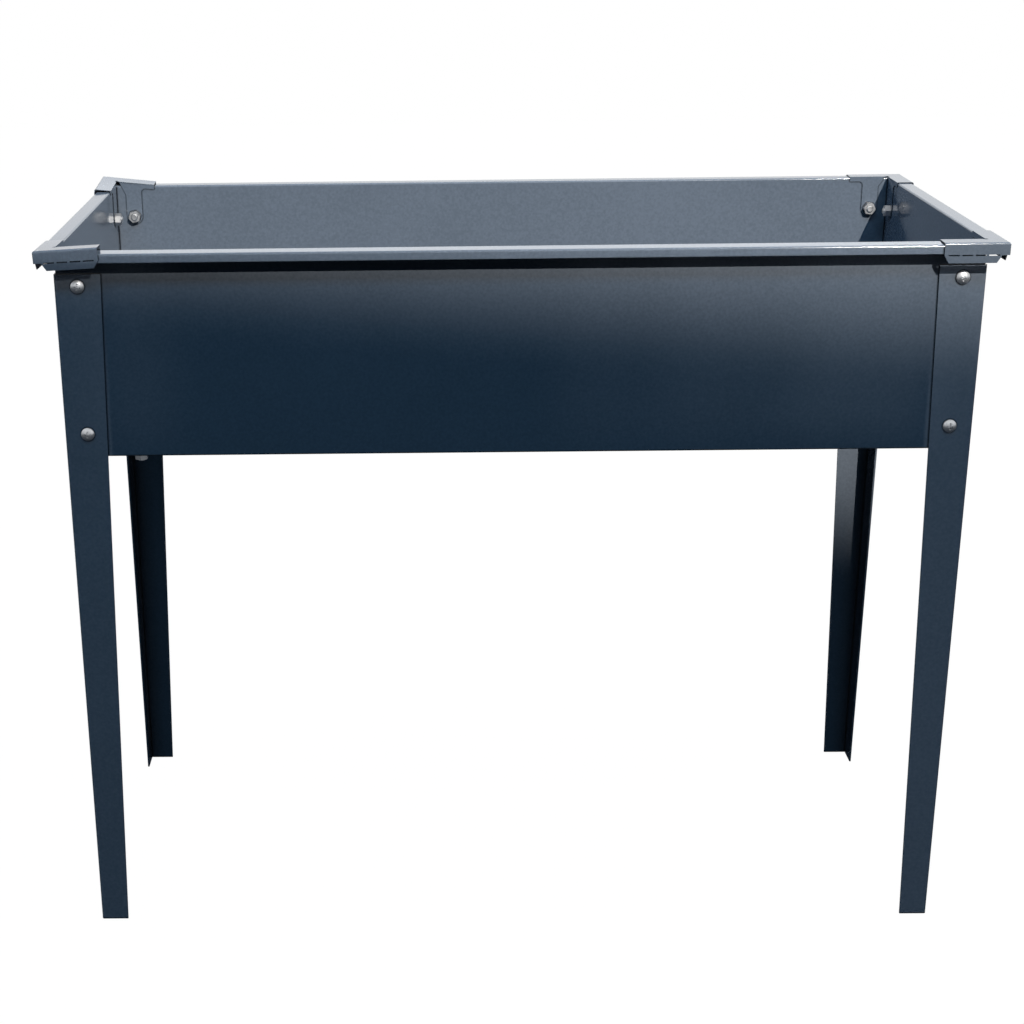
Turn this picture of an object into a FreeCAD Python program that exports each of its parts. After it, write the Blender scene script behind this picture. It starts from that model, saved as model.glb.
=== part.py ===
import FreeCAD, Part
import math
import os

Vector = FreeCAD.Vector

# Overall sizes in millimetres: X runs along the bed, its front faces -Y, the ground is Z = 0
rim_length = 996.4
rim_depth = 446.4
rim_height = 794.0
tub_height = 224.0

# Walls of folded sheet
wall_sheet = 0.8
bend_radius = 1.5
rim_width = 17.0
lip_height = 9.0
ledge_width = 22.0
mitre_clearance = 0.1

# How far the outer edge of each rim hangs below its inner bend
rim_droops = {"front": 1.4, "back": 0.0, "left": 0.0, "right": 0.0}

# Legs of folded sheet, tapering downwards
leg_sheet = 2.0
leg_bend_radius = 0.3
leg_top_width = 49.0
leg_foot_width = 30.5
leg_drop = 25.0

# Bolts and nuts
bolt_diameter = 8.0
hole_clearance = 0.3
head_diameter = 14.0
head_edge = 1.6
head_dome = 2.8
head_rings = 3
leg_bolt_length = 12.0
floor_bolt_length = 10.0
seam_bolt_length = 10.0
nut_width = 13.0
nut_height = 6.5
nut_clearance = 0.15

# Places of the leg bolts
bolt_inset = 24.3
upper_bolt_drop = 38.0
lower_bolt_rise = 26.0

# Corner caps: a hood over the rim, with a flap below a slotted bend line, and two tabs inside the tub
cap_sheet = 0.8
cap_arm = 67.0
cap_side_clearance = 1.0
cap_top_clearance = 0.3
cap_band_height = 13.0
flap_height = 8.0
flap_start = 8.0
flap_slant = 5.0
slot_count = 4
slot_start = 10.5
slot_length = 11.0
slot_height = 1.3
slot_pitch = 13.7
corner_slit = 0.6
corner_notch = 3.0
wing_height = 5.5
tab_radius = 9.5
tab_fillet = 5.0
tab_shoulder = 11.0

# Hand-fitted caps sit askew, in degrees: a tilt above zero lifts the long arm's end, one below zero
# lifts the corner, and a roll lifts the long arm's outer edge
cap_tilts = {"front_left": 2.8, "front_right": 0.0, "back_left": -6.0, "back_right": 0.0}
cap_rolls = {"front_left": 1.5, "front_right": 0.0, "back_left": 5.0, "back_right": 0.0}

# Floor in two like plates, with upturned flanges at the middle seam and a bolt at an outer corner of each
floor_sheet = 0.8
floor_clearance = 2.0
floor_bolt_inset = 13.0
floor_bolt_from_end = 76.0
seam_height = 18.0
seam_bolt_rise = 10.0
seam_bolt_pitch = 130.0
drain_diameter = 8.0
drain_columns = 4
drain_rows = 3
drain_pitch = 100.0

# Space by which a cutting tool passes the surface that it cuts
overcut = 5.0

# Sides of small round holes and fasteners
facets = 12

# Faces of the walls and legs, worked out from the rim
half_length = rim_length / 2
half_depth = rim_depth / 2
wall_x = half_length - rim_width
wall_y = half_depth - rim_width
inside_x = wall_x - wall_sheet
inside_y = wall_y - wall_sheet
leg_x = wall_x + leg_sheet
leg_y = wall_y + leg_sheet
leg_height = rim_height - leg_drop
mitre_gap = leg_bend_radius + mitre_clearance
tub_bottom = rim_height - tub_height
ledge_top = tub_bottom + wall_sheet
floor_top = ledge_top + floor_sheet
hole_radius = bolt_diameter / 2 + hole_clearance
upper_bolt_z = rim_height - upper_bolt_drop
lower_bolt_z = tub_bottom + lower_bolt_rise
floor_bolt_x = wall_x - floor_bolt_from_end
floor_bolt_y = wall_y - floor_bolt_inset
seam_bolt_y = [-seam_bolt_pitch, 0, seam_bolt_pitch]
seam_bolt_z = floor_top + seam_bolt_rise
corners = {
    "front_left": (-1, -1),
    "front_right": (1, -1),
    "back_left": (-1, 1),
    "back_right": (1, 1),
}


def line(start, end):
    return Part.LineSegment(start, end).toShape()


def arc(start, middle, end):
    return Part.Arc(start, middle, end).toShape()


def rounded_line(points, radii):
    # Edges along a chain of points, with an arc of its own radius at each inner point
    edges = []
    start = points[0]
    for before, corner, after, radius in zip(points, points[1:], points[2:], radii):
        arriving = (corner - before).normalize()
        leaving = (after - corner).normalize()
        half_turn = arriving.getAngle(leaving) / 2
        setback = radius * math.tan(half_turn)
        towards_centre = (leaving - arriving).normalize()
        arc_start = corner - arriving * setback
        arc_middle = corner + towards_centre * (radius / math.cos(half_turn) - radius)
        arc_end = corner + leaving * setback
        edges += [line(start, arc_start), arc(arc_start, arc_middle, arc_end)]
        start = arc_end
    return edges + [line(start, points[-1])]


def folded_sheet(points, thickness, radius, normal):
    # Section of a folded sheet whose one face follows the points, and whose other face is on their left
    steps = [(after - before).normalize() for before, after in zip(points, points[1:])]
    lefts = [normal.cross(step) * thickness for step in steps]
    other = [points[0] + lefts[0]]
    for corner, left, next_left, step, next_step in zip(points[1:], lefts, lefts[1:], steps, steps[1:]):
        other.append(corner + (left + next_left) / (1 + step.dot(next_step)))
    other.append(points[-1] + lefts[-1])
    turns_left = [step.cross(after).dot(normal) > 0 for step, after in zip(steps, steps[1:])]
    radii = [radius + (thickness if left else 0) for left in turns_left]
    other_radii = [radius + (0 if left else thickness) for left in turns_left]
    edges = rounded_line(points, radii)
    edges.append(line(points[-1], other[-1]))
    edges += rounded_line(other[::-1], other_radii[::-1])
    edges.append(line(other[0], points[0]))
    return Part.Face(Part.Wire(edges))


def flat_face(points):
    return Part.Face(Part.makePolygon(points + points[:1]))


def prism(points, height):
    return flat_face(points).extrude(height)


def ring(radius, z, sides):
    angles = [2 * math.pi * side / sides for side in range(sides)]
    return [Vector(radius * math.cos(angle), radius * math.sin(angle), z) for angle in angles]


def faceted_solid(rings):
    # Flat faces from each ring of corners to the next, closed at the first and the last ring
    faces = [flat_face(rings[0]), flat_face(rings[-1])]
    for lower, upper in zip(rings, rings[1:]):
        for side in range(len(lower)):
            faces.append(flat_face([lower[side - 1], lower[side], upper[side], upper[side - 1]]))
    return Part.Solid(Part.Shell(faces))


def to_corner(shape, side_x, side_y):
    if side_x < 0:
        shape = shape.mirror(Vector(), Vector(1, 0, 0))
    if side_y < 0:
        shape = shape.mirror(Vector(), Vector(0, 1, 0))
    return shape


def set_on(shape, seat, outward):
    placed = shape.copy()
    placed.Placement = FreeCAD.Placement(seat, FreeCAD.Rotation(Vector(0, 0, 1), outward))
    return placed


def drill(centre, direction, radius, depth):
    # A faceted hole whose flats touch the radius
    corner_radius = radius / math.cos(math.pi / facets)
    return set_on(prism(ring(corner_radius, -depth, facets), Vector(0, 0, 2 * depth)), centre, direction)


# One wall, facing +Y, with the rim folded outwards and the ledge folded inwards
def wall_panel(along, out, rim_droop, leg_bolt_x, ledge_bolt_x):
    face = out - rim_width
    section = folded_sheet(
        [
            Vector(-along, out, rim_height - rim_droop - lip_height),
            Vector(-along, out, rim_height - rim_droop),
            Vector(-along, face - wall_sheet, rim_height),
            Vector(-along, face - wall_sheet, ledge_top),
            Vector(-along, face - ledge_width, ledge_top),
        ],
        wall_sheet,
        bend_radius,
        Vector(1, 0, 0),
    )
    wall = section.extrude(Vector(2 * along, 0, 0))
    far = out + overcut
    near = face - ledge_width - overcut
    base = tub_bottom - overcut
    mitre_far = along + overcut - mitre_gap
    mitre_near = mitre_far - (far - near)
    mitred = prism(
        [
            Vector(-mitre_far, far, base),
            Vector(mitre_far, far, base),
            Vector(mitre_near, near, base),
            Vector(-mitre_near, near, base),
        ],
        Vector(0, 0, tub_height + 2 * overcut),
    )
    wall = wall.common(mitred)
    for x in leg_bolt_x:
        for z in (upper_bolt_z, lower_bolt_z):
            wall = wall.cut(drill(Vector(x, face, z), Vector(0, 1, 0), hole_radius, overcut))
    for x in ledge_bolt_x:
        ledge_hole = Vector(x, face - floor_bolt_inset, tub_bottom)
        wall = wall.cut(drill(ledge_hole, Vector(0, 0, 1), hole_radius, overcut))
    return wall


# One leg, for the corner at +X and +Y
def corner_leg():
    section = folded_sheet(
        [
            Vector(leg_x, leg_y - leg_top_width, 0),
            Vector(leg_x, leg_y, 0),
            Vector(leg_x - leg_top_width, leg_y, 0),
        ],
        leg_sheet,
        leg_bend_radius,
        Vector(0, 0, 1),
    )
    leg = section.extrude(Vector(0, 0, leg_height))
    taper_x = prism(
        [
            Vector(leg_x - leg_foot_width, 0, 0),
            Vector(leg_x - leg_top_width, 0, leg_height),
            Vector(leg_x - leg_top_width, 0, 0),
        ],
        Vector(0, leg_y + overcut, 0),
    )
    taper_y = prism(
        [
            Vector(0, leg_y - leg_foot_width, 0),
            Vector(0, leg_y - leg_top_width, leg_height),
            Vector(0, leg_y - leg_top_width, 0),
        ],
        Vector(leg_x + overcut, 0, 0),
    )
    leg = leg.cut(taper_x).cut(taper_y)
    for z in (upper_bolt_z, lower_bolt_z):
        leg = leg.cut(drill(Vector(leg_x - bolt_inset, leg_y, z), Vector(0, 1, 0), hole_radius, overcut))
        leg = leg.cut(drill(Vector(leg_x, leg_y - bolt_inset, z), Vector(1, 0, 0), hole_radius, overcut))
    return leg


# Outer faces of a cap at the corner at +X and +Y
cap_x = half_length + cap_side_clearance + cap_sheet
cap_y = half_depth + cap_side_clearance + cap_sheet
cap_top = rim_height + cap_top_clearance + cap_sheet
cap_width = cap_y - inside_y + cap_sheet
cap_end_x = cap_x - cap_arm
slot_line = cap_top - cap_band_height
flap_bottom = slot_line - flap_height


def across_corner(shape):
    # The same form on the other arm: mirrored in the plane that halves the corner
    return shape.mirror(Vector(cap_x, cap_y, 0), Vector(1, -1, 0))


def hood_arm():
    section = folded_sheet(
        [
            Vector(cap_end_x, cap_y, flap_bottom),
            Vector(cap_end_x, cap_y, cap_top),
            Vector(cap_end_x, cap_y - cap_width, cap_top),
        ],
        cap_sheet,
        bend_radius,
        Vector(1, 0, 0),
    )
    arm = section.extrude(Vector(cap_arm, 0, 0))
    base = flap_bottom - overcut
    arm = arm.common(
        prism(
            [
                Vector(cap_x, cap_y, base),
                Vector(cap_end_x, cap_y, base),
                Vector(cap_end_x, cap_y - cap_width, base),
                Vector(cap_x - cap_width, cap_y - cap_width, base),
            ],
            Vector(0, 0, cap_top - base + overcut),
        )
    )
    through_wall = Vector(0, cap_sheet + overcut, 0)
    wall_back = cap_y - cap_sheet
    ends = [(cap_x - flap_start, -1), (cap_end_x, 1)]
    for edge, inwards in ends:
        past = edge - inwards * (flap_start + overcut)
        outline = [(edge, slot_line), (edge + inwards * flap_slant, flap_bottom)]
        outline += [(edge + inwards * flap_slant, base), (past, base), (past, slot_line)]
        arm = arm.cut(prism([Vector(x, wall_back, z) for x, z in outline], through_wall))
    for index in range(slot_count):
        slot_x = cap_x - slot_start - index * slot_pitch - slot_length
        slot_place = Vector(slot_x, wall_back, slot_line - slot_height / 2)
        arm = arm.cut(Part.makeBox(slot_length, through_wall.y, slot_height, slot_place))
    return arm


def cap_tab(lift_at_corner, lift_at_end):
    # Wing and tab against the long wall, up to the hood's inner edge, which a tilt lifts
    corner_x = inside_x
    bolt_x = leg_x - bolt_inset
    lift_slope = (lift_at_end - lift_at_corner) / (corner_x - cap_end_x)
    fold = cap_top - cap_sheet / 2 + lift_at_corner

    def at(x, z):
        return Vector(x, inside_y - cap_sheet, z)

    def fold_at(x):
        return fold + lift_slope * (corner_x - x)

    near_x = bolt_x + tab_radius
    far_x = bolt_x - tab_radius
    start_x = cap_x - cap_width - corner_notch
    wing_x = far_x - tab_fillet
    wing_z = fold_at(wing_x) - wing_height
    fillet_z = wing_z - tab_fillet
    bulge = tab_fillet * math.sqrt(0.5)
    edges = [
        line(at(start_x, fold_at(start_x)), at(near_x, rim_height - tab_shoulder)),
        line(at(near_x, rim_height - tab_shoulder), at(near_x, upper_bolt_z)),
        arc(at(near_x, upper_bolt_z), at(bolt_x, upper_bolt_z - tab_radius), at(far_x, upper_bolt_z)),
        line(at(far_x, upper_bolt_z), at(far_x, fillet_z)),
        arc(at(far_x, fillet_z), at(wing_x + bulge, fillet_z + bulge), at(wing_x, wing_z)),
        line(at(wing_x, wing_z), at(cap_end_x, fold_at(cap_end_x) - wing_height)),
        line(at(cap_end_x, fold_at(cap_end_x) - wing_height), at(cap_end_x, fold_at(cap_end_x))),
        line(at(cap_end_x, fold_at(cap_end_x)), at(start_x, fold_at(start_x))),
    ]
    tab = Part.Face(Part.Wire(edges)).extrude(Vector(0, cap_sheet, 0))
    return tab.cut(drill(Vector(bolt_x, inside_y, upper_bolt_z), Vector(0, 1, 0), hole_radius, overcut))


# One cap, for the corner at +X and +Y, tilted and rolled about the point that stays down
def corner_cap(tilt, roll):
    arm = hood_arm()
    hood = arm.fuse(across_corner(arm))
    base = flap_bottom - overcut
    slit_height = cap_top - cap_sheet - bend_radius - base
    slit = Part.makeBox(2 * cap_sheet, corner_slit, slit_height, Vector(0, -corner_slit / 2, base))
    slit.rotate(Vector(), Vector(0, 0, 1), 225)
    slit.translate(Vector(cap_x, cap_y, 0))
    inner_x = cap_x - cap_width
    inner_y = cap_y - cap_width
    notch = prism(
        [
            Vector(inner_x - corner_notch, inner_y, rim_height),
            Vector(inner_x, inner_y - corner_notch, rim_height),
            Vector(inner_x + corner_notch, inner_y, rim_height),
            Vector(inner_x, inner_y + corner_notch, rim_height),
        ],
        Vector(0, 0, cap_top - rim_height + overcut),
    )
    hood = hood.cut(slit).cut(notch)
    cap_end_y = cap_y - cap_arm
    pivot_x, pivot_y = (cap_end_x, inner_y) if tilt < 0 else (half_length, cap_end_y)
    pivot = Vector(pivot_x, pivot_y, rim_height + cap_top_clearance)
    hood.rotate(pivot, Vector(0, 1, 0), tilt)
    hood.rotate(pivot, Vector(1, 0, 0), roll)

    def lift(x, y):
        return (pivot_x - x) * math.tan(math.radians(tilt)) + (y - pivot_y) * math.tan(math.radians(roll))

    long_tab = cap_tab(lift(inside_x, inside_y), lift(cap_end_x, inside_y))
    short_tab = across_corner(cap_tab(lift(inside_x, inside_y), lift(inside_x, cap_end_y)))
    return hood.fuse(long_tab).fuse(short_tab).removeSplitter()


# Domed bolt on +Z: its seat is Z = 0
def domed_bolt(length):
    shank_radius = bolt_diameter / 2
    head_radius = head_diameter / 2
    dome_radius = (head_radius ** 2 + head_dome ** 2) / (2 * head_dome)
    dome_centre = head_edge + head_dome - dome_radius
    outline = [(shank_radius, -length), (shank_radius, 0), (head_radius, 0)]
    for index in range(head_rings):
        radius = head_radius * (1 - index / head_rings)
        outline.append((radius, dome_centre + math.sqrt(dome_radius ** 2 - radius ** 2)))
    return faceted_solid([ring(radius, z, facets) for radius, z in outline])


# Hexagon nut on +Z: its seat is Z = 0
def hexagon_nut():
    corner_radius = nut_width / math.sqrt(3)
    nut = prism(ring(corner_radius, 0, 6), Vector(0, 0, nut_height))
    return nut.cut(drill(Vector(), Vector(0, 0, 1), bolt_diameter / 2 + nut_clearance, nut_height + overcut))


# One half of the floor, on the +X side, with its flange upturned at the seam; the other half is turned about
def floor_plate():
    end_x = inside_x - floor_clearance
    edge_y = inside_y - floor_clearance
    section = folded_sheet(
        [
            Vector(end_x, -edge_y, floor_top),
            Vector(floor_sheet, -edge_y, floor_top),
            Vector(floor_sheet, -edge_y, floor_top + seam_height),
        ],
        floor_sheet,
        bend_radius,
        Vector(0, -1, 0),
    )
    plate = section.extrude(Vector(0, 2 * edge_y, 0))
    bolt_place = Vector(floor_bolt_x, floor_bolt_y, floor_top)
    plate = plate.cut(drill(bolt_place, Vector(0, 0, 1), hole_radius, overcut))
    for y in seam_bolt_y:
        plate = plate.cut(drill(Vector(0, y, seam_bolt_z), Vector(1, 0, 0), hole_radius, overcut))
    for column in range(drain_columns):
        for row in range(drain_rows):
            drain_x = end_x / 2 + (column - (drain_columns - 1) / 2) * drain_pitch
            drain_y = (row - (drain_rows - 1) / 2) * drain_pitch
            drain = drill(Vector(drain_x, drain_y, floor_top), Vector(0, 0, 1), drain_diameter / 2, overcut)
            plate = plate.cut(drain)
    return plate


def leg_fasteners(side_x, side_y):
    # The two bolts through the long wall and the two through the short wall, with their nuts inside
    bolt = domed_bolt(leg_bolt_length)
    nut = hexagon_nut()
    out_x = Vector(side_x, 0, 0)
    out_y = Vector(0, side_y, 0)
    bolts = []
    nuts = []
    for z, nut_gap in ((upper_bolt_z, cap_sheet), (lower_bolt_z, 0)):
        long_place = Vector(side_x * (leg_x - bolt_inset), 0, z)
        short_place = Vector(0, side_y * (leg_y - bolt_inset), z)
        bolts.append(set_on(bolt, long_place + out_y * leg_y, out_y))
        bolts.append(set_on(bolt, short_place + out_x * leg_x, out_x))
        nuts.append(set_on(nut, long_place + out_y * (inside_y - nut_gap), -out_y))
        nuts.append(set_on(nut, short_place + out_x * (inside_x - nut_gap), -out_x))
    return Part.makeCompound(bolts), Part.makeCompound(nuts)


def floor_fasteners():
    bolt = domed_bolt(floor_bolt_length)
    nut = hexagon_nut()
    places = [Vector(side * floor_bolt_x, side * floor_bolt_y, 0) for side in (-1, 1)]
    bolts = [set_on(bolt, place + Vector(0, 0, floor_top), Vector(0, 0, 1)) for place in places]
    nuts = [set_on(nut, place + Vector(0, 0, tub_bottom), Vector(0, 0, -1)) for place in places]
    return Part.makeCompound(bolts), Part.makeCompound(nuts)


def seam_fasteners():
    bolt = domed_bolt(seam_bolt_length)
    nut = hexagon_nut()
    bolts = [set_on(bolt, Vector(-floor_sheet, y, seam_bolt_z), Vector(-1, 0, 0)) for y in seam_bolt_y]
    nuts = [set_on(nut, Vector(floor_sheet, y, seam_bolt_z), Vector(1, 0, 0)) for y in seam_bolt_y]
    return Part.makeCompound(bolts), Part.makeCompound(nuts)


def turned(shape, angle):
    return shape.rotated(Vector(), Vector(0, 0, 1), angle)


parts = {}

long_bolt_x = [-(leg_x - bolt_inset), leg_x - bolt_inset]
short_bolt_x = [-(leg_y - bolt_inset), leg_y - bolt_inset]
for side, angle in (("back", 0), ("front", 180)):
    long_wall = wall_panel(half_length, half_depth, rim_droops[side], long_bolt_x, [floor_bolt_x])
    parts[side + "_panel"] = turned(long_wall, angle)
for side, angle in (("left", 90), ("right", -90)):
    short_wall = wall_panel(half_depth, half_length, rim_droops[side], short_bolt_x, [])
    parts[side + "_panel"] = turned(short_wall, angle)

leg = corner_leg()
for corner, sides in corners.items():
    parts["leg_" + corner] = to_corner(leg, *sides)
    parts["corner_cap_" + corner] = to_corner(corner_cap(cap_tilts[corner], cap_rolls[corner]), *sides)
    parts["leg_bolts_" + corner], parts["leg_nuts_" + corner] = leg_fasteners(*sides)

plate = floor_plate()
parts["floor_plate_right"] = plate
parts["floor_plate_left"] = turned(plate, 180)
parts["floor_bolts"], parts["floor_nuts"] = floor_fasteners()
parts["seam_bolts"], parts["seam_nuts"] = seam_fasteners()

os.makedirs("parts", exist_ok=True)
for name, shape in parts.items():
    shape.exportStep(os.path.join("parts", name + ".step"))
    print(name, len(shape.Solids), "solids,", round(shape.Volume), "mm3, valid", shape.isValid())
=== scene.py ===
import bpy
import bmesh
import math
from mathutils import Matrix, Vector


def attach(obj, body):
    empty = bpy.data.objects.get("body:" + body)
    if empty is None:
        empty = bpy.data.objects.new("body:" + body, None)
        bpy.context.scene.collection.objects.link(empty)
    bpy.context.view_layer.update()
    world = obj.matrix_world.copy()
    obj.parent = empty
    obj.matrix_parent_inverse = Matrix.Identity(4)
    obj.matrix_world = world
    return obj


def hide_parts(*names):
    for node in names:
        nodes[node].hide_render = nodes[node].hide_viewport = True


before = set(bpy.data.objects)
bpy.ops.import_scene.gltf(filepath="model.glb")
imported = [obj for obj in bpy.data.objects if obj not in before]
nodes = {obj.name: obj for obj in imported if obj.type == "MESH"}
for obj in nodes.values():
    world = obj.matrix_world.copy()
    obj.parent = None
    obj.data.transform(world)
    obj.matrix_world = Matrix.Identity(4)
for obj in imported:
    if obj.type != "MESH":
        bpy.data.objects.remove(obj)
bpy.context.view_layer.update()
scene = bpy.context.scene
print("frame loaded:", len(nodes), "nodes")

mm = 0.001                # metres
touching = 1e-6           # metres: points closer than this are one
noiseRange = (0.3, 0.7)   # most of a noise lies between these
mixFactor, mixFirst, mixSecond, mixColour = 0, 6, 7, 2   # sockets of a Mix node for colours


def linear(hexColour):
    parts = [int(hexColour[i:i + 2], 16) / 255 for i in (1, 3, 5)]
    return [c / 12.92 if c <= 0.04045 else ((c + 0.055) / 1.055) ** 2.4 for c in parts] + [1]


def addNode(tree, kind, inputs, **settings):
    node = tree.nodes.new(kind)
    for name, value in settings.items():
        setattr(node, name, value)
    for name, value in inputs.items():
        if isinstance(value, bpy.types.NodeSocket):
            tree.links.new(value, node.inputs[name])
        else:
            node.inputs[name].default_value = value
    return node


def newMaterial(name):
    material = bpy.data.materials.new(name)
    material.use_nodes = True
    material.node_tree.nodes.clear()
    return material, material.node_tree


# Powder-coated steel sheet: baked-on satin paint, a dark slate grey that turns pale at grazing angles,
# with a fine orange peel, faint clouds and a fine speckle in the tone, the slow waves of thin sheet,
# and painted shade: near-black lines where another sheet, a bolt or a corner stands close to it
coat = {
    "darkTone": "#535C67",
    "lightTone": "#5B6470",
    "cloudMm": 120,
    "cloudDetail": 5,
    "speckleMm": 3,          # real grain is under 1 mm; drawn coarser so that it shows
    "speckleDetail": 1,
    "speckle": 2.0,          # strength against the clouds
    # painted shade: a near-black tone mixed into the paint near other surfaces
    "paintedShadeTone": "#0A0C0F",
    "paintedShadeMm": 2.2,           # reach of the painted shade
    "paintedShadeDark": 4.0,         # power of the painted shade: the higher, the blacker
    "paintedShadeSamples": 16,
    "peelMm": 2.6,           # real peel is about 1 mm; drawn coarser so that it shows
    "peelDetail": 2,
    "peelHeightMm": 0.008,
    "waveMm": 260,
    "waveDetail": 0,
    "waveHeightMm": 0.35,
    "smoothest": 0.09,
    "roughest": 0.14,
    "ior": 1.5,
}
coatMaterial, tree = newMaterial("powder_coated_steel")
place = addNode(tree, "ShaderNodeTexCoord", {}).outputs["Object"]
noises = {}
for pattern in ("cloud", "speckle", "peel", "wave"):
    noise = addNode(tree, "ShaderNodeTexNoise", {"Vector": place, "Scale": 1 / (coat[pattern + "Mm"] * mm),
                                                 "Detail": coat[pattern + "Detail"]})
    noises[pattern] = noise.outputs["Fac"]
speckle = addNode(tree, "ShaderNodeMapRange", {"Value": noises["speckle"], "To Min": -coat["speckle"] / 2,
                                               "To Max": coat["speckle"] / 2})
mottle = addNode(tree, "ShaderNodeMath", {0: noises["cloud"], 1: speckle.outputs["Result"]}, operation="ADD")
openTone = addNode(tree, "ShaderNodeMix", {mixFactor: mottle.outputs[0], mixFirst: linear(coat["darkTone"]),
                                           mixSecond: linear(coat["lightTone"])}, data_type="RGBA")
# Painted shade: ambient occlusion turns the paint's colour near black within a few millimetres of other
# surfaces, in place of contact shadows
paintedShadeProbe = addNode(tree, "ShaderNodeAmbientOcclusion", {"Distance": coat["paintedShadeMm"] * mm},
                samples=coat["paintedShadeSamples"])
paintedShadeFactor = addNode(tree, "ShaderNodeMath", {0: paintedShadeProbe.outputs["AO"], 1: coat["paintedShadeDark"]}, operation="POWER")
tone = addNode(tree, "ShaderNodeMix", {mixFactor: paintedShadeFactor.outputs[0], mixFirst: linear(coat["paintedShadeTone"]),
                                       mixSecond: openTone.outputs[mixColour]}, data_type="RGBA")
satin = addNode(tree, "ShaderNodeMapRange", {"Value": noises["cloud"],
                                             "From Min": noiseRange[0], "From Max": noiseRange[1],
                                             "To Min": coat["smoothest"], "To Max": coat["roughest"]})
waveBump = addNode(tree, "ShaderNodeBump", {"Height": noises["wave"], "Distance": coat["waveHeightMm"] * mm})
peelBump = addNode(tree, "ShaderNodeBump", {"Height": noises["peel"], "Distance": coat["peelHeightMm"] * mm,
                                            "Normal": waveBump.outputs["Normal"]})
paint = addNode(tree, "ShaderNodeBsdfPrincipled", {"Base Color": tone.outputs[mixColour],
                                                   "Roughness": satin.outputs["Result"], "IOR": coat["ior"],
                                                   "Normal": peelBump.outputs["Normal"]})
addNode(tree, "ShaderNodeOutputMaterial", {"Surface": paint.outputs["BSDF"]})

# Zinc-plated steel: bright, slightly blue metal with soft dull patches from the plating bath
zinc = {
    "brightTone": "#D6D9DC",
    "dullTone": "#B2B6BB",
    "patchMm": 4,
    "patchDetail": 4,
    "smoothest": 0.35,
    "roughest": 0.55,
}
zincMaterial, tree = newMaterial("zinc_plated_steel")
place = addNode(tree, "ShaderNodeTexCoord", {}).outputs["Object"]
patches = addNode(tree, "ShaderNodeTexNoise", {"Vector": place, "Scale": 1 / (zinc["patchMm"] * mm),
                                               "Detail": zinc["patchDetail"]}).outputs["Fac"]
tone = addNode(tree, "ShaderNodeMix", {mixFactor: patches, mixFirst: linear(zinc["brightTone"]),
                                       mixSecond: linear(zinc["dullTone"])}, data_type="RGBA")
sheen = addNode(tree, "ShaderNodeMapRange", {"Value": patches,
                                             "From Min": noiseRange[0], "From Max": noiseRange[1],
                                             "To Min": zinc["smoothest"], "To Max": zinc["roughest"]})
plating = addNode(tree, "ShaderNodeBsdfPrincipled", {"Base Color": tone.outputs[mixColour], "Metallic": 1,
                                                     "Roughness": sheen.outputs["Result"]})
addNode(tree, "ShaderNodeOutputMaterial", {"Surface": plating.outputs["BSDF"]})
print("materials made")

# CAD nodes that stay get the coat
for name, node in nodes.items():
    if "bolts" not in name and "nuts" not in name:
        node.data.materials.clear()
        node.data.materials.append(coatMaterial)
print("coat on the sheet pieces")


# Bolts with a domed head, a cross recess and a shank with rings for a thread, seat at z = 0, in metres
bolt = {
    "headRadius": 0.007,
    "headEdge": 0.0016,
    "headDome": 0.0028,
    "domeSteps": 8,
    "shankRadius": 0.004,
    "threadPitch": 0.00125,
    "threadDepth": 0.0004,
    "segments": 40,
    "recessHalfWidth": 0.0008,
    "recessReach": 0.0038,
    "recessDepth": 0.0018,
    "recessTaper": 0.7,
}


def drawOn(bm, vert, step):
    # Carries a chain of edges on from a vertex
    grown = bmesh.ops.extrude_vert_indiv(bm, verts=[vert])
    end = grown["verts"][0]
    bmesh.ops.translate(bm, verts=[end], vec=step)
    return end


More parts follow.
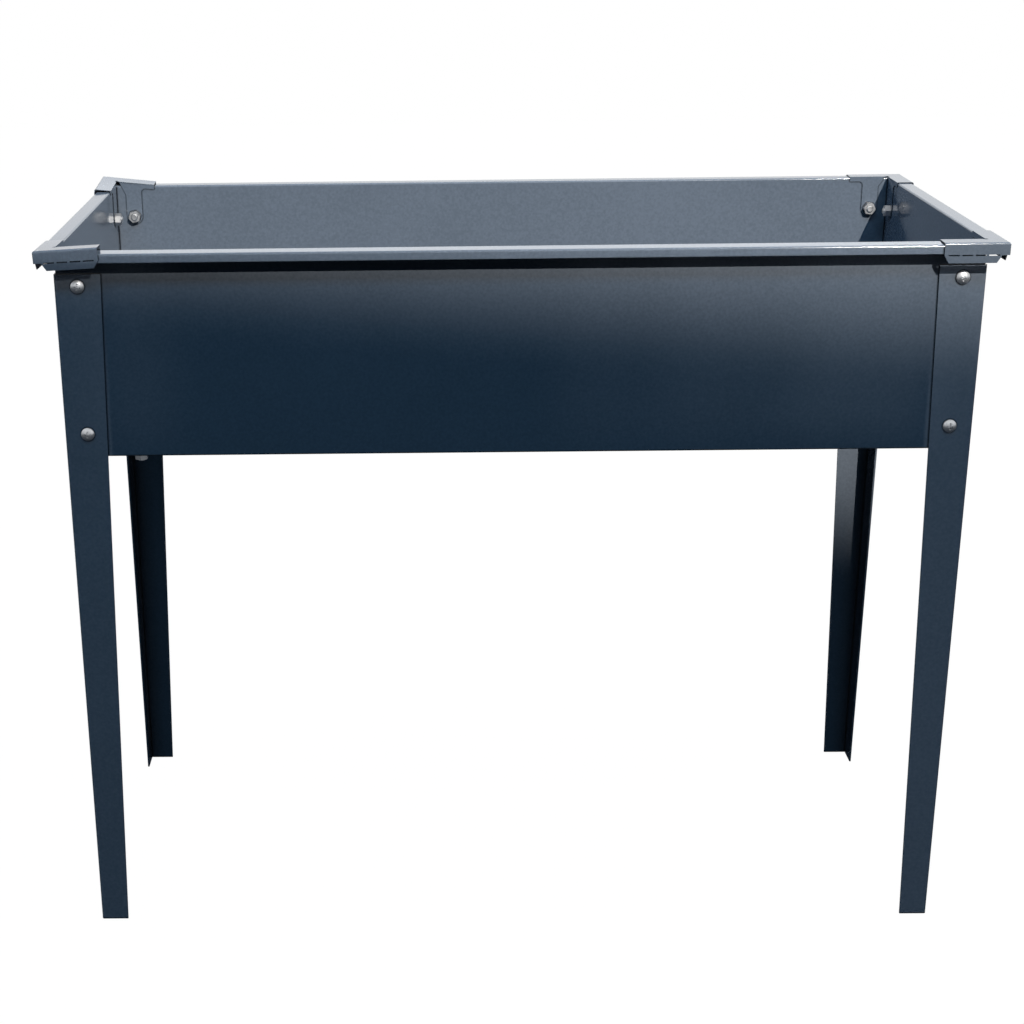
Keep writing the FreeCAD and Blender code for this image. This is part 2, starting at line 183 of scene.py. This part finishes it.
def boltMesh(length):
    # Half the outline, from the crown to the tip, spun about the axis
    bm = bmesh.new()
    domeRadius = (bolt["headRadius"] ** 2 + bolt["headDome"] ** 2) / (2 * bolt["headDome"])
    domeCentre = Vector((0, 0, bolt["headEdge"] + bolt["headDome"] - domeRadius))
    crown = bm.verts.new((0, 0, bolt["headEdge"] + bolt["headDome"]))
    arc = bmesh.ops.spin(bm, geom=[crown], cent=domeCentre, axis=(0, 1, 0),
                         angle=math.asin(bolt["headRadius"] / domeRadius), steps=bolt["domeSteps"])
    end = arc["geom_last"][0]
    end = drawOn(bm, end, (0, 0, -end.co.z))
    end = drawOn(bm, end, (bolt["shankRadius"] - bolt["headRadius"], 0, 0))
    for ring in range(round(length / bolt["threadPitch"]) - 1):
        for side in (-1, 1):
            end = drawOn(bm, end, (side * bolt["threadDepth"], 0, -bolt["threadPitch"] / 2))
    end = drawOn(bm, end, (-2 * bolt["threadDepth"], 0, -length - end.co.z))
    drawOn(bm, end, (-end.co.x, 0, 0))
    bmesh.ops.spin(bm, geom=bm.verts[:] + bm.edges[:], cent=(0, 0, 0), axis=(0, 0, 1), angle=math.tau,
                   steps=bolt["segments"], use_merge=True)
    bmesh.ops.remove_doubles(bm, verts=bm.verts, dist=touching)

    # The dome is cut along the edges of the cross, which is then sunk
    half, reach = bolt["recessHalfWidth"], bolt["recessReach"]
    for axis in (Vector((1, 0, 0)), Vector((0, 1, 0))):
        for offset in (-reach, -half, half, reach):
            dome = [f for f in bm.faces if f.calc_center_median().z > bolt["headEdge"]]
            around = {e for f in dome for e in f.edges} | {v for f in dome for v in f.verts}
            bmesh.ops.bisect_plane(bm, geom=dome + list(around), plane_co=axis * offset, plane_no=axis)
    recess = []
    for face in bm.faces:
        centre = face.calc_center_median()
        nearest, furthest = sorted((abs(centre.x), abs(centre.y)))
        if centre.z > bolt["headEdge"] and nearest < half and furthest < reach:
            recess.append(face)
    sunk = bmesh.ops.extrude_face_region(bm, geom=recess)["geom"]
    sunkVerts = [v for v in sunk if isinstance(v, bmesh.types.BMVert)]
    bmesh.ops.delete(bm, geom=recess, context="FACES_ONLY")
    taper = Matrix.Diagonal((bolt["recessTaper"], bolt["recessTaper"], 1, 1))
    bmesh.ops.transform(bm, verts=sunkVerts, matrix=taper)
    bmesh.ops.translate(bm, verts=sunkVerts, vec=(0, 0, -bolt["recessDepth"]))
    bmesh.ops.recalc_face_normals(bm, faces=bm.faces)

    # Smooth dome, sharp recess
    recessFaces = {f for v in sunkVerts for f in v.link_faces}
    for face in bm.faces:
        face.smooth = face.calc_center_median().z > bolt["headEdge"] and face not in recessFaces
    for edge in {e for f in recessFaces for e in f.edges}:
        edge.smooth = False
    mesh = bpy.data.meshes.new("boltMaster")
    bm.to_mesh(mesh)
    bm.free()
    return mesh


# Hexagon nuts with blunted corners and a chamfered bore, seat at z = 0, in metres
nut = {
    "flatsWidth": 0.013,
    "height": 0.0065,
    "cornerCut": 0.001,
    "cornerSegments": 2,
    "boreRadius": 0.00405,
    "boreChamfer": 0.0004,
    "boreSegments": 36,
}


def nutMesh():
    bm = bmesh.new()
    bmesh.ops.create_circle(bm, cap_ends=True, radius=nut["flatsWidth"] / math.sqrt(3), segments=6)
    top = bmesh.ops.extrude_face_region(bm, geom=bm.faces[:])["geom"]
    topVerts = [v for v in top if isinstance(v, bmesh.types.BMVert)]
    bmesh.ops.translate(bm, verts=topVerts, vec=(0, 0, nut["height"]))
    bmesh.ops.bevel(bm, geom=bm.verts[:], offset=nut["cornerCut"], segments=nut["cornerSegments"],
                    profile=0.5, affect="VERTICES", material=-1)
    mouthRadius = nut["boreRadius"] + nut["boreChamfer"]
    shrink = nut["boreRadius"] / mouthRadius
    for z, inwards in ((nut["height"], -1), (0, 1)):
        flats = [f for f in bm.faces if abs(f.calc_center_median().z - z) < touching]
        cap = max(flats, key=lambda f: f.calc_area())
        rim = list(cap.edges)
        bmesh.ops.delete(bm, geom=[cap], context="FACES_ONLY")
        mouth = bmesh.ops.create_circle(bm, radius=mouthRadius, segments=nut["boreSegments"],
                                        matrix=Matrix.Translation((0, 0, z)))["verts"]
        mouthEdges = list({e for v in mouth for e in v.link_edges})
        bmesh.ops.bridge_loops(bm, edges=rim + mouthEdges)
        bore = bmesh.ops.extrude_edge_only(bm, edges=mouthEdges)["geom"]
        boreVerts = [v for v in bore if isinstance(v, bmesh.types.BMVert)]
        bmesh.ops.transform(bm, verts=boreVerts, matrix=Matrix.Diagonal((shrink, shrink, 1, 1)))
        bmesh.ops.translate(bm, verts=boreVerts, vec=(0, 0, inwards * nut["boreChamfer"]))
    openEdges = [e for e in bm.edges if e.is_boundary]
    bmesh.ops.bridge_loops(bm, edges=openEdges)
    bmesh.ops.recalc_face_normals(bm, faces=bm.faces)
    mesh = bpy.data.meshes.new("nutMaster")
    bm.to_mesh(mesh)
    bm.free()
    return mesh


def seat(point, outward, turn):
    # Placement of a fastener: seat point, axis and turn about its axis
    return (Matrix.Translation(point) @ Vector(outward).to_track_quat("Z", "Y").to_matrix().to_4x4()
            @ Matrix.Rotation(math.radians(turn), 4, "Z"))


def fastenerPiece(name, master, places, node):
    bm = bmesh.new()
    for matrix in places:
        before = len(bm.verts)
        bm.from_mesh(master)
        bmesh.ops.transform(bm, matrix=matrix, verts=bm.verts[before:])
    mesh = bpy.data.meshes.new(name)
    bm.to_mesh(mesh)
    bm.free()
    mesh.materials.append(zincMaterial)
    piece = bpy.data.objects.new(name, mesh)
    scene.collection.objects.link(piece)
    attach(piece, "root")
    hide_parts(node)


# Where the fasteners sit, in metres, as in the part's source
fasteners = {
    "corners": {"front_left": (-1, -1), "front_right": (1, -1), "back_left": (-1, 1), "back_right": (1, 1)},
    "legFace": (0.4832, 0.2082),      # outer faces of the legs
    "wallInside": (0.4804, 0.2054),   # inner faces of the walls
    "inset": 0.0243,
    "upperHeight": 0.756,
    "lowerHeight": 0.596,
    "capSheet": 0.0008,               # cap tab under the upper nuts
    "legBoltLength": 0.012,
    "floorPlaces": ((-0.4052, -0.1932), (0.4052, 0.1932)),
    "floorTop": 0.5716,
    "ledgeBottom": 0.570,
    "floorBoltLength": 0.010,
    "seamFace": 0.0008,
    "seamY": (-0.13, 0, 0.13),
    "seamHeight": 0.5816,
    "seamBoltLength": 0.010,
    "turnStep": 47,                   # degrees: multiples of it stop each one at another angle
}
legBolt = boltMesh(fasteners["legBoltLength"])
plainNut = nutMesh()
legX, legY = fasteners["legFace"]
wallX, wallY = fasteners["wallInside"]
boltX, boltY = legX - fasteners["inset"], legY - fasteners["inset"]
for corner, (signX, signY) in fasteners["corners"].items():
    bolts, nuts = [], []
    for height, gap in ((fasteners["upperHeight"], fasteners["capSheet"]), (fasteners["lowerHeight"], 0)):
        turn = fasteners["turnStep"] * (len(bolts) + signX + 3 * signY)
        bolts.append(seat((signX * boltX, signY * legY, height), (0, signY, 0), turn))
        bolts.append(seat((signX * legX, signY * boltY, height), (signX, 0, 0), 2 * turn))
        nuts.append(seat((signX * boltX, signY * (wallY - gap), height), (0, -signY, 0), 3 * turn))
        nuts.append(seat((signX * (wallX - gap), signY * boltY, height), (-signX, 0, 0), 5 * turn))
    cornerName = corner.title().replace("_", "")
    fastenerPiece("legBolts" + cornerName, legBolt, bolts, "leg_bolts_" + corner)
    fastenerPiece("legNuts" + cornerName, plainNut, nuts, "leg_nuts_" + corner)

bolts, nuts = [], []
for x, y in fasteners["floorPlaces"]:
    turn = fasteners["turnStep"] * len(bolts)
    bolts.append(seat((x, y, fasteners["floorTop"]), (0, 0, 1), turn))
    nuts.append(seat((x, y, fasteners["ledgeBottom"]), (0, 0, -1), 2 * turn))
fastenerPiece("floorBolts", boltMesh(fasteners["floorBoltLength"]), bolts, "floor_bolts")
fastenerPiece("floorNuts", plainNut, nuts, "floor_nuts")

bolts, nuts = [], []
for y in fasteners["seamY"]:
    turn = fasteners["turnStep"] * len(bolts)
    bolts.append(seat((-fasteners["seamFace"], y, fasteners["seamHeight"]), (-1, 0, 0), turn))
    nuts.append(seat((fasteners["seamFace"], y, fasteners["seamHeight"]), (1, 0, 0), 2 * turn))
fastenerPiece("seamBolts", boltMesh(fasteners["seamBoltLength"]), bolts, "seam_bolts")
fastenerPiece("seamNuts", plainNut, nuts, "seam_nuts")
print("bolts and nuts made")

# Floor: plain, white to the camera but dim in reflections and in the light it throws back, so that upright
# faces stay dark
floor = {
    "size": 14,
    "mirrorTone": "#262E38",
    "shade": "#141414",
}
floorMaterial, tree = newMaterial("studio_floor")
rays = addNode(tree, "ShaderNodeLightPath", {}).outputs
mirrored = addNode(tree, "ShaderNodeMath", {0: rays["Is Glossy Ray"], 1: rays["Is Transmission Ray"]},
                   operation="MAXIMUM")
white = addNode(tree, "ShaderNodeEmission", {"Strength": rays["Is Camera Ray"]})
dim = addNode(tree, "ShaderNodeEmission", {"Color": linear(floor["mirrorTone"]),
                                           "Strength": mirrored.outputs[0]})
matt = addNode(tree, "ShaderNodeBsdfDiffuse", {"Color": linear(floor["shade"])})
glows = addNode(tree, "ShaderNodeAddShader", {0: white.outputs[0], 1: dim.outputs[0]})
both = addNode(tree, "ShaderNodeAddShader", {0: glows.outputs[0], 1: matt.outputs[0]})
addNode(tree, "ShaderNodeOutputMaterial", {"Surface": both.outputs[0]})
bm = bmesh.new()
bmesh.ops.create_grid(bm, x_segments=1, y_segments=1, size=floor["size"] / 2)
floorMesh = bpy.data.meshes.new("studioFloor")
bm.to_mesh(floorMesh)
bm.free()
floorMesh.materials.append(floorMaterial)
floorObject = bpy.data.objects.new("studioFloor", floorMesh)
scene.collection.objects.link(floorObject)

# World: white to the camera and in reflections, a weak cool light otherwise
sky = {
    "seenTone": "#FFFFFF",
    "lightTone": "#7CC0FF",
    "strength": 0.035,
}
world = bpy.data.worlds.new("studio")
world.use_nodes = True
tree = world.node_tree
tree.nodes.clear()
rays = addNode(tree, "ShaderNodeLightPath", {}).outputs
mirrored = addNode(tree, "ShaderNodeMath", {0: rays["Is Glossy Ray"], 1: rays["Is Transmission Ray"]},
                   operation="MAXIMUM")
seen = addNode(tree, "ShaderNodeMath", {0: rays["Is Camera Ray"], 1: mirrored.outputs[0]},
               operation="MAXIMUM")
ambient = addNode(tree, "ShaderNodeBackground", {"Color": linear(sky["lightTone"]),
                                                 "Strength": sky["strength"]})
white = addNode(tree, "ShaderNodeBackground", {"Color": linear(sky["seenTone"]), "Strength": 1})
both = addNode(tree, "ShaderNodeMixShader", {0: seen.outputs[0], 1: ambient.outputs[0], 2: white.outputs[0]})
addNode(tree, "ShaderNodeOutputWorld", {"Surface": both.outputs[0]})
scene.world = world


def towards(azimuth, elevation):
    # Direction from the object to a lamp: azimuth 0 is the front, 90 the right
    a, e = math.radians(azimuth), math.radians(elevation)
    return Vector((math.sin(a) * math.cos(e), -math.cos(a) * math.cos(e), math.sin(e)))


def addLamp(name, kind, lamp, beam, **settings):
    data = bpy.data.lights.new(name, kind)
    data.energy = lamp["watts"]
    data.color = linear(lamp["colour"])[:3]
    for setting, value in settings.items():
        setattr(data, setting, value)
    lampObject = bpy.data.objects.new(name, data)
    scene.collection.objects.link(lampObject)
    away = towards(lamp["azimuth"], lamp["elevation"])
    lampObject.location = Vector(lamp["aimAt"]) + away * lamp["distance"]
    lampObject.rotation_euler = beam.to_track_quat("-Z", "Y").to_euler()
    return lampObject


# Key: a lamp at the upper right front, whose soft lower edge crosses the front wall
key = {
    "aimAt": (0, 0, 0.7),
    "azimuth": 22,
    "elevation": 37.5,
    "distance": 8,
    "beamAzimuth": -3.157,
    "beamElevation": -43.187,
    "coneDegrees": 170,
    "softEdge": 0.0178,
    "radius": 0.02,
    "colour": "#FFF6EB",
    "watts": 4390,
}
addLamp("keyLamp", "SPOT", key, -towards(key["beamAzimuth"], key["beamElevation"]),
        spot_size=math.radians(key["coneDegrees"]), spot_blend=key["softEdge"],
        shadow_soft_size=key["radius"])

# Panels: flat lamps that the camera doesn't see, and the paint doesn't mirror unless they say so
plainPanel = {
    "azimuth": 0,
    "elevation": 0,
    "spread": 180,
    "colour": "#FFFFFF",
    "mirrored": False,
}


def addPanels(panels, alike):
    for name, own in panels.items():
        panel = plainPanel | alike | own
        panelLamp = addLamp(name, "AREA", panel, -towards(panel["azimuth"], panel["elevation"]),
                            shape="RECTANGLE", size=panel["width"], size_y=panel["height"],
                            spread=math.radians(panel["spread"]))
        panelLamp.visible_camera = False
        panelLamp.visible_glossy = panel["mirrored"]


# Behind, for the rims to mirror: the softbox in the front rim, the low panel in the flat rims
mirrorPanels = {
    "softboxLamp": {"elevation": 28.5, "width": 4, "height": 0.9, "watts": 12.6},
    "lowPanelLamp": {"elevation": 8.5, "width": 4.4, "height": 0.75, "colour": "#FFF6E6", "watts": 1.35},
}
addPanels(mirrorPanels, {"aimAt": (0, 0, 0.8), "azimuth": 180, "distance": 2.7, "mirrored": True})

# Sky panel: cool light from high in front on the faces that the key leaves out
skyPanels = {
    "skyPanelLamp": {"elevation": 56.5, "width": 6, "height": 1, "colour": "#9ED8FF", "watts": 175},
}
addPanels(skyPanels, {"aimAt": (0, 0, 0.6), "distance": 6})

# Fills: lamps high beside the ends, and one behind
fills = {
    "rightFill": {"azimuth": 90, "elevation": 60, "watts": 31},
    "leftFill": {"azimuth": -90, "elevation": 55, "colour": "#B4D8FF", "watts": 15},
    "backFill": {"azimuth": 180, "elevation": 20, "watts": 18},
}
addPanels(fills, {"aimAt": (0, 0, 0.7), "distance": 2.5, "width": 0.8, "height": 0.8})

# Strips: weak straight beams, from the front on the legs, the lip and a cap, from the left on the end
strips = {
    "leftLegStrip": {"aimAt": (-0.4587, -0.21, 0.385), "width": 0.049, "height": 0.77, "watts": 0.013},
    "rightLegStrip": {"aimAt": (0.4587, -0.21, 0.385), "width": 0.049, "height": 0.77, "watts": 0.021},
    "lipStrip": {"aimAt": (0, -0.223, 0.7881), "width": 0.866, "height": 0.009, "watts": 0.0085},
    "leftCapStrip": {"aimAt": (-0.4675, -0.225, 0.7925), "width": 0.069, "height": 0.015, "watts": 0.0011},
    "leftEndStrip": {"aimAt": (-0.4832, 0, 0.385), "width": 0.416, "height": 0.77, "watts": 0.2,
                     "azimuth": -90},
}
addPanels(strips, {"distance": 0.3, "spread": 1})

# Wall strips: wider beams on the front wall, stronger towards its right end, and one at its left end
wallStrips = {
    "middleWallStrip": {"aimAt": (0.105, -0.206, 0.6825), "width": 0.11, "watts": 0.0022},
    "rightWallStrip": {"aimAt": (0.225, -0.206, 0.6825), "width": 0.13, "watts": 0.0053},
    "endWallStrip": {"aimAt": (0.362, -0.206, 0.6825), "width": 0.144, "watts": 0.0107},
    "leftWallStrip": {"aimAt": (-0.404, -0.206, 0.6825), "width": 0.06, "watts": 0.0019},
}
addPanels(wallStrips, {"distance": 0.3, "spread": 20, "height": 0.195})

# Camera as in the photograph
view = {
    "place": (-0.1038, -2.0602, 1.1554),
    "yaw": -0.738,
    "pitch": 19.363,
    "roll": 0.773,
    "focalPixels": 1811.4,
    "imagePixels": 1024,
    "centrePixel": (398.8, 512.0),
    "sensorMm": 36,
}
yaw, pitch, roll = (math.radians(view[k]) for k in ("yaw", "pitch", "roll"))
ahead = Vector((math.sin(yaw) * math.cos(pitch), math.cos(yaw) * math.cos(pitch), -math.sin(pitch)))
level = Vector((math.cos(yaw), -math.sin(yaw), 0))
below = ahead.cross(level)
imageRight = math.cos(roll) * level + math.sin(roll) * below
imageUp = math.sin(roll) * level - math.cos(roll) * below
cameraData = bpy.data.cameras.new("camera")
cameraData.sensor_width = view["sensorMm"]
cameraData.lens = view["focalPixels"] / view["imagePixels"] * view["sensorMm"]
cameraData.shift_x = 0.5 - view["centrePixel"][0] / view["imagePixels"]
cameraData.shift_y = view["centrePixel"][1] / view["imagePixels"] - 0.5
camera = bpy.data.objects.new("camera", cameraData)
scene.collection.objects.link(camera)
cameraTurn = Matrix((imageRight, imageUp, -ahead)).transposed()
camera.matrix_world = Matrix.Translation(view["place"]) @ cameraTurn.to_4x4()
scene.camera = camera
scene.view_settings.view_transform = "Standard"
print("floor, light and camera made")
